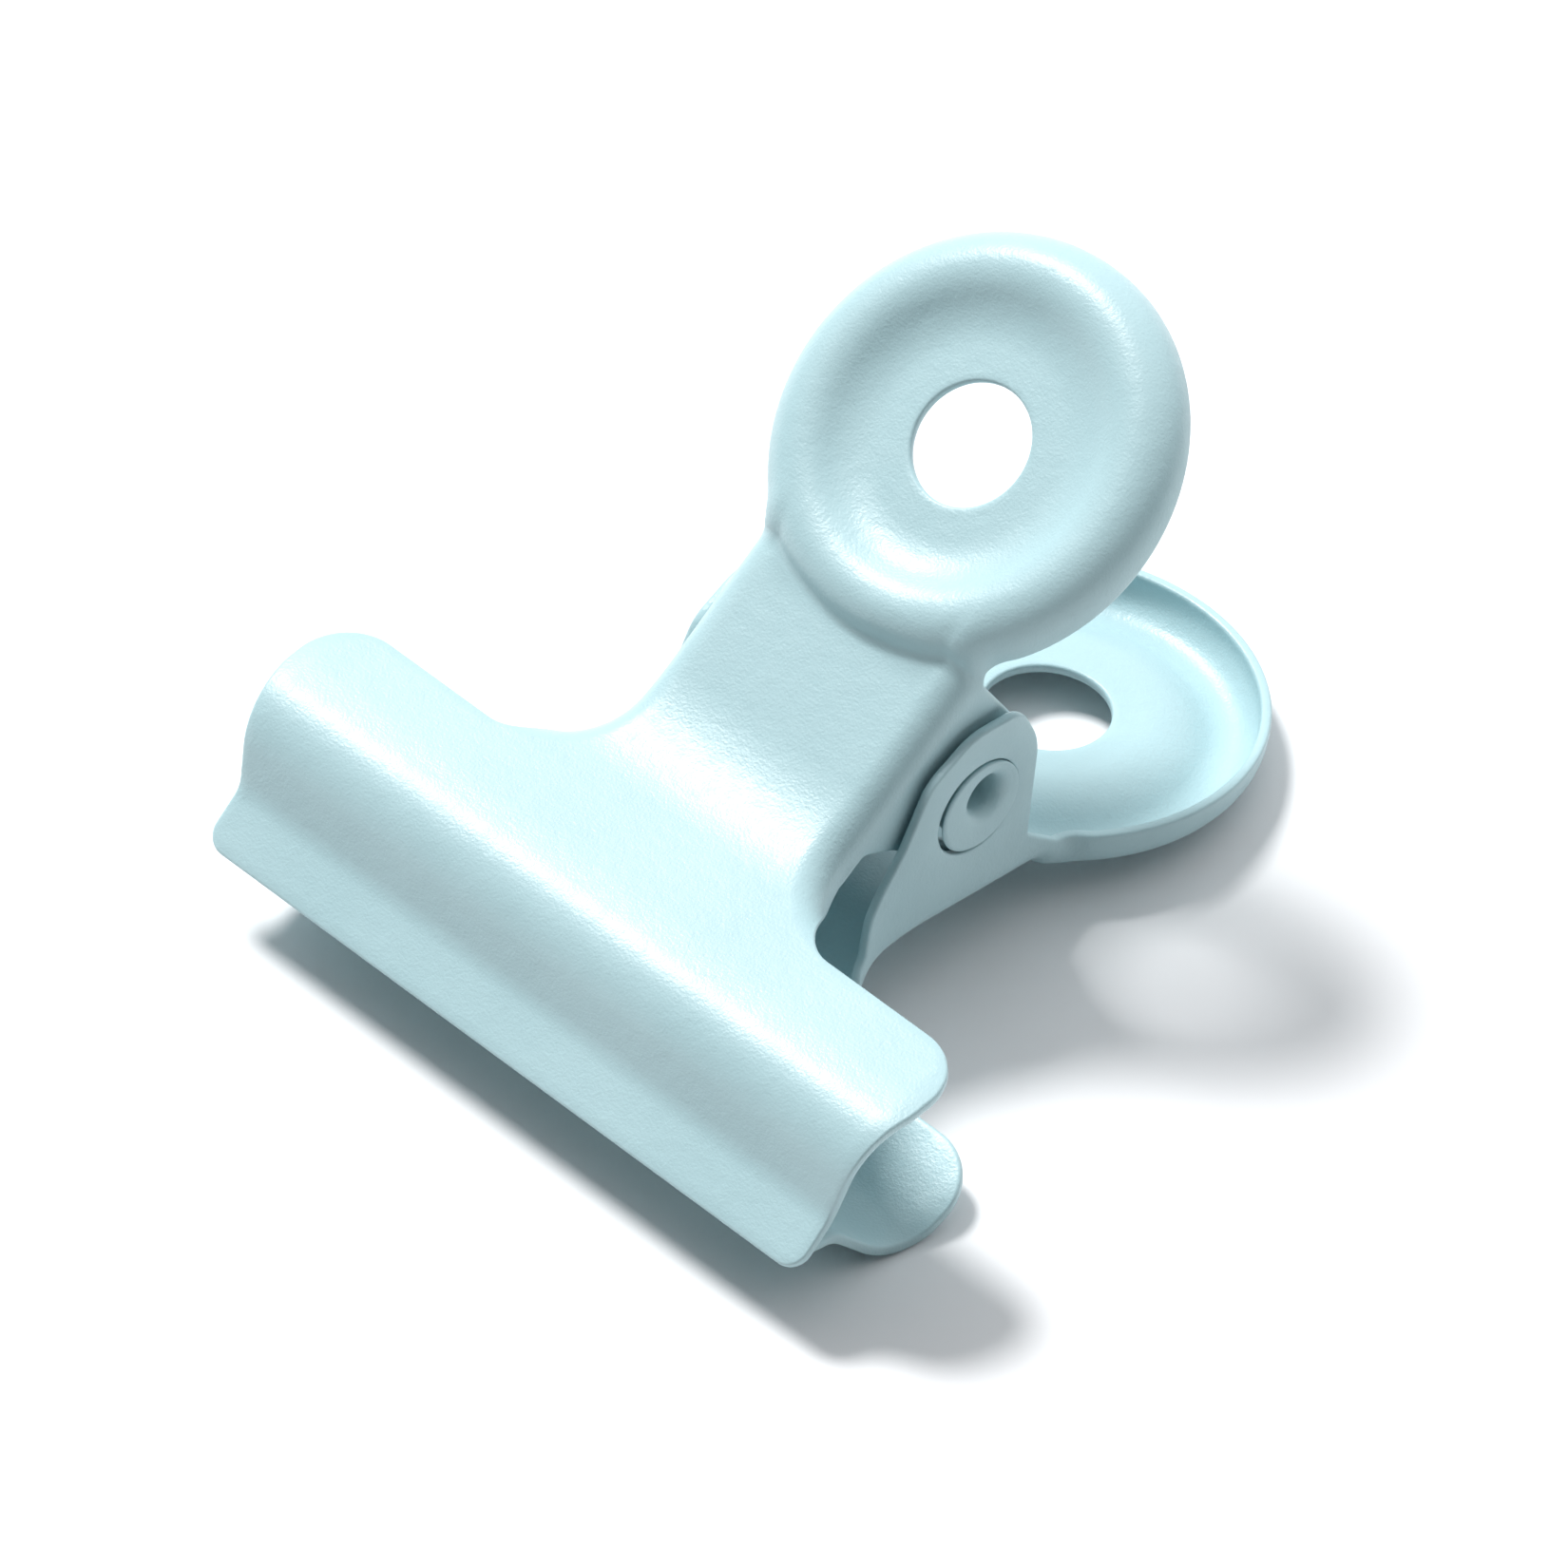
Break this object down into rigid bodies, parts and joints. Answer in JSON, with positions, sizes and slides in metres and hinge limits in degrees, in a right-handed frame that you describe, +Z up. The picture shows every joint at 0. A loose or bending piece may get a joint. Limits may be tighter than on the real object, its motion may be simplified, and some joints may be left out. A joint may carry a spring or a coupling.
{
  "type": "hinged bulldog letter clip",
  "caption": "Pressed sheet-steel spring clip with wide rolled jaws, round eye handles with raised rims and a hollow hinge rivet.",
  "frame": {"origin": "on the surface the clip lies on, under the middle of its bounding box", "axes": "+X across the jaws, +Y from the lips to the handles, +Z up"},
  "size_m": [0.0322, 0.0364, 0.0232],
  "materials": {
    "pale_blue_paint": "satin pale blue paint",
    "spring_steel": "plain drawn spring wire"
  },
  "bodies": {
    "lower_half": {"lower_plate": "pale_blue_paint", "hinge_tube": "pale_blue_paint", "torsion_spring": "spring_steel"},
    "upper_half": {"upper_plate": "pale_blue_paint", "torsion_spring_upper_leg": "spring_steel"}
  },
  "joints": [
    {"name": "jaw_hinge", "type": "hinge", "parent": "lower_half", "child": "upper_half", "pos_m": [0, 0.00017, 0.00783], "axis": [-1, 0, 0], "range_deg": [0, 60], "stiffness_Nm_per_rad": 0.02, "springref_deg": -85.94}
  ]
}
